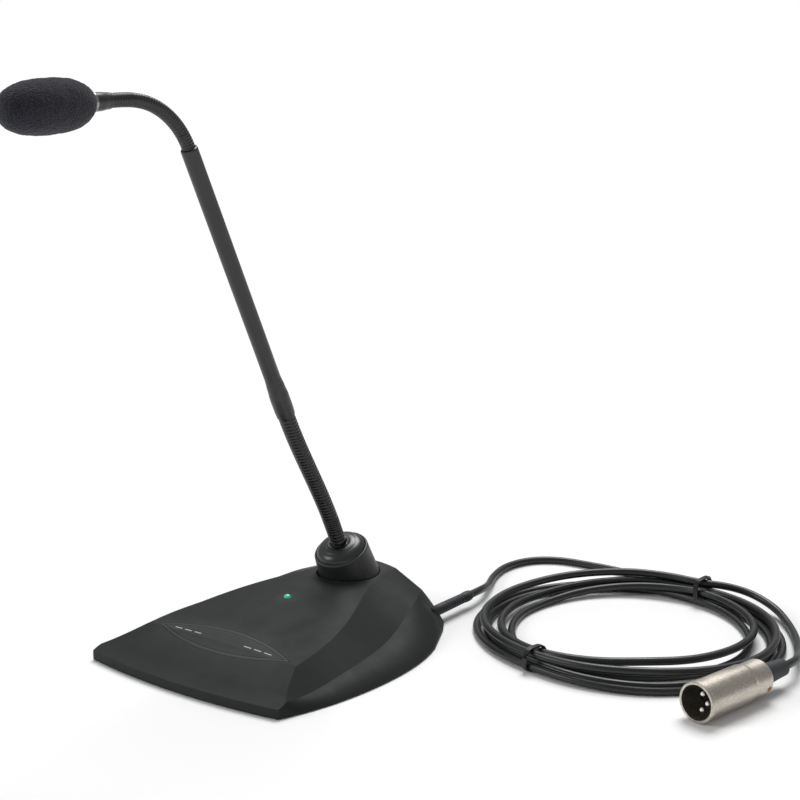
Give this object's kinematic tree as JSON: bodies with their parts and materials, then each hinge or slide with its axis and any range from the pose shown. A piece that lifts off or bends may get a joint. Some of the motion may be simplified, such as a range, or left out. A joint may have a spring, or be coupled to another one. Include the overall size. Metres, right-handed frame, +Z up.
{
  "type": "desktop microphone",
  "caption": "Desktop gooseneck microphone: low weighted base with a lens-shaped talk button, bendable neck, foam head and a coiled lead with an audio plug.",
  "frame": {"origin": "middle of the base's underside, on the table", "axes": "+Z up, -Y towards the person speaking, +X to that person's right"},
  "size_m": [0.3067, 0.3777, 0.2894],
  "materials": {
    "cover_plastic": "fine matte grain",
    "bezel_plastic": "satin",
    "button_plastic": "matte",
    "silver_print": "satin",
    "steel_sheet": "zinc plated",
    "pad_rubber": "matte",
    "screw_steel": "zinc plated",
    "ballast_iron": "rough",
    "board_green": "solder mask",
    "chip_black": "matte",
    "header_white": "matte",
    "switch_black": "matte",
    "led_green": "clear",
    "collar_plastic": "fine matte grain",
    "cap_plastic": "satin",
    "ring_metal": "polished",
    "flex_paint": "satin black",
    "tube_paint": "satin black",
    "capsule_metal": "satin",
    "foam": "open foam",
    "relief_rubber": "matte",
    "cable_jacket": "semi-gloss",
    "tie_plastic": "semi-gloss",
    "nickel": "satin nickel",
    "insert_black": "matte",
    "pin_metal": "plated",
    "screw_brass": "plated"
  },
  "bodies": {
    "base": {"base_cover": "cover_plastic", "base_plate": "steel_sheet", "rubber_pad": "pad_rubber", "base_plate_screws": "screw_steel", "ballast_weight": "ballast_iron", "ballast_screws": "screw_steel", "circuit_board": "board_green", "board_spacers": "screw_steel", "board_screws": "screw_steel", "board_parts": "chip_black", "lead_header": "header_white", "switch_housing": "switch_black", "button_bezel": "bezel_plastic", "status_led": "led_green", "led_holder": "switch_black", "neck_collar": "collar_plastic", "neck_cap": "cap_plastic", "entry_ring": "ring_metal", "neck_anchor": "flex_paint", "anchor_nut": "screw_steel", "strain_relief": "relief_rubber", "cable_lead": "cable_jacket", "cable_coil": "cable_jacket", "cable_tail": "cable_jacket", "cable_tie_1": "tie_plastic", "cable_tie_2": "tie_plastic", "plug_shell": "nickel", "plug_insert": "insert_black", "plug_pins": "pin_metal", "plug_screw": "screw_brass", "plug_boot": "relief_rubber"},
    "button": {"push_button": "button_plastic", "button_marks": "silver_print"},
    "plunger": {"switch_plunger": "switch_black"},
    "lower_link_1": {"lower_link_1": "flex_paint"},
    "lower_link_2": {"lower_link_2": "flex_paint"},
    "lower_link_3": {"lower_link_3": "flex_paint"},
    "lower_link_4": {"lower_link_4": "flex_paint"},
    "lower_link_5": {"lower_link_5": "flex_paint"},
    "tube": {"tube_sleeve": "tube_paint", "rigid_tube": "tube_paint", "tube_plug": "tube_paint", "upper_stub": "flex_paint"},
    "upper_link_1": {"upper_link_1": "flex_paint"},
    "upper_link_2": {"upper_link_2": "flex_paint"},
    "upper_link_3": {"upper_link_3": "flex_paint"},
    "upper_link_4": {"upper_link_4": "flex_paint"},
    "upper_link_5": {"upper_link_5": "flex_paint"},
    "head": {"mic_collar": "tube_paint", "capsule_housing": "capsule_metal", "capsule_element": "capsule_metal", "capsule_grille": "capsule_metal"},
    "windscreen": {"foam_windscreen": "foam"}
  },
  "joints": [
    {"name": "lower_pitch_1", "type": "hinge", "parent": "base", "child": "lower_link_1", "pos_m": [0, 0.04158, 0.05315], "axis": [1, 0, 0], "range_deg": [-14, 14]},
    {"name": "lower_side_1", "type": "hinge", "parent": "lower_link_1", "child": "lower_link_2", "pos_m": [0, 0.03522, 0.06562], "axis": [0, 0.8788, 0.4772], "range_deg": [-14, 14]},
    {"name": "lower_pitch_2", "type": "hinge", "parent": "lower_link_2", "child": "lower_link_3", "pos_m": [0, 0.02822, 0.07775], "axis": [1, 0, 0], "range_deg": [-14, 14]},
    {"name": "lower_side_2", "type": "hinge", "parent": "lower_link_3", "child": "lower_link_4", "pos_m": [0, 0.02101, 0.08975], "axis": [0, 0.8572, 0.515], "range_deg": [-14, 14]},
    {"name": "lower_pitch_3", "type": "hinge", "parent": "lower_link_4", "child": "lower_link_5", "pos_m": [0, 0.0138, 0.10175], "axis": [1, 0, 0], "range_deg": [-14, 14]},
    {"name": "lower_side_3", "type": "hinge", "parent": "lower_link_5", "child": "tube", "pos_m": [0, 0.00702, 0.11399], "axis": [0, 0.8872, 0.4614], "range_deg": [-14, 14]},
    {"name": "upper_pitch_1", "type": "hinge", "parent": "tube", "child": "upper_link_1", "pos_m": [0, -0.06425, 0.26037], "axis": [1, 0, 0], "range_deg": [-18, 18]},
    {"name": "upper_side_1", "type": "hinge", "parent": "upper_link_1", "child": "upper_link_2", "pos_m": [0, -0.06991, 0.26736], "axis": [0, 0.7009, 0.7133], "range_deg": [-18, 18]},
    {"name": "upper_pitch_2", "type": "hinge", "parent": "upper_link_2", "child": "upper_link_3", "pos_m": [0, -0.07701, 0.2729], "axis": [1, 0, 0], "range_deg": [-18, 18]},
    {"name": "upper_side_2", "type": "hinge", "parent": "upper_link_3", "child": "upper_link_4", "pos_m": [0, -0.08509, 0.27685], "axis": [0, 0.3338, 0.9426], "range_deg": [-18, 18]},
    {"name": "upper_pitch_3", "type": "hinge", "parent": "upper_link_4", "child": "upper_link_5", "pos_m": [0, -0.09386, 0.27887], "axis": [1, 0, 0], "range_deg": [-18, 18]},
    {"name": "upper_side_3", "type": "hinge", "parent": "upper_link_5", "child": "head", "pos_m": [0, -0.10285, 0.27934], "axis": [0, 0.0044, 1], "range_deg": [-18, 18]},
    {"name": "windscreen_slide", "type": "slide", "parent": "head", "child": "windscreen", "axis": [0, -0.999, -0.0436], "range_m": [0, 0.045]},
    {"name": "button_press", "type": "slide", "parent": "base", "child": "button", "axis": [0, 0, -1], "range_m": [0, 0.0008], "stiffness_N_per_m": 900, "springref_m": -0.0006},
    {"name": "plunger_press", "type": "slide", "parent": "base", "child": "plunger", "axis": [0, 0, -1], "range_m": [0, 0.0008]}
  ],
  "couplings": [
    {"joint": "lower_pitch_2", "follows": "lower_pitch_1", "ratio": 1},
    {"joint": "lower_side_2", "follows": "lower_side_1", "ratio": 1},
    {"joint": "lower_pitch_3", "follows": "lower_pitch_1", "ratio": 1},
    {"joint": "lower_side_3", "follows": "lower_side_1", "ratio": 1},
    {"joint": "upper_pitch_2", "follows": "upper_pitch_1", "ratio": 1},
    {"joint": "upper_side_2", "follows": "upper_side_1", "ratio": 1},
    {"joint": "upper_pitch_3", "follows": "upper_pitch_1", "ratio": 1},
    {"joint": "upper_side_3", "follows": "upper_side_1", "ratio": 1},
    {"joint": "plunger_press", "follows": "button_press", "ratio": 1}
  ]
}
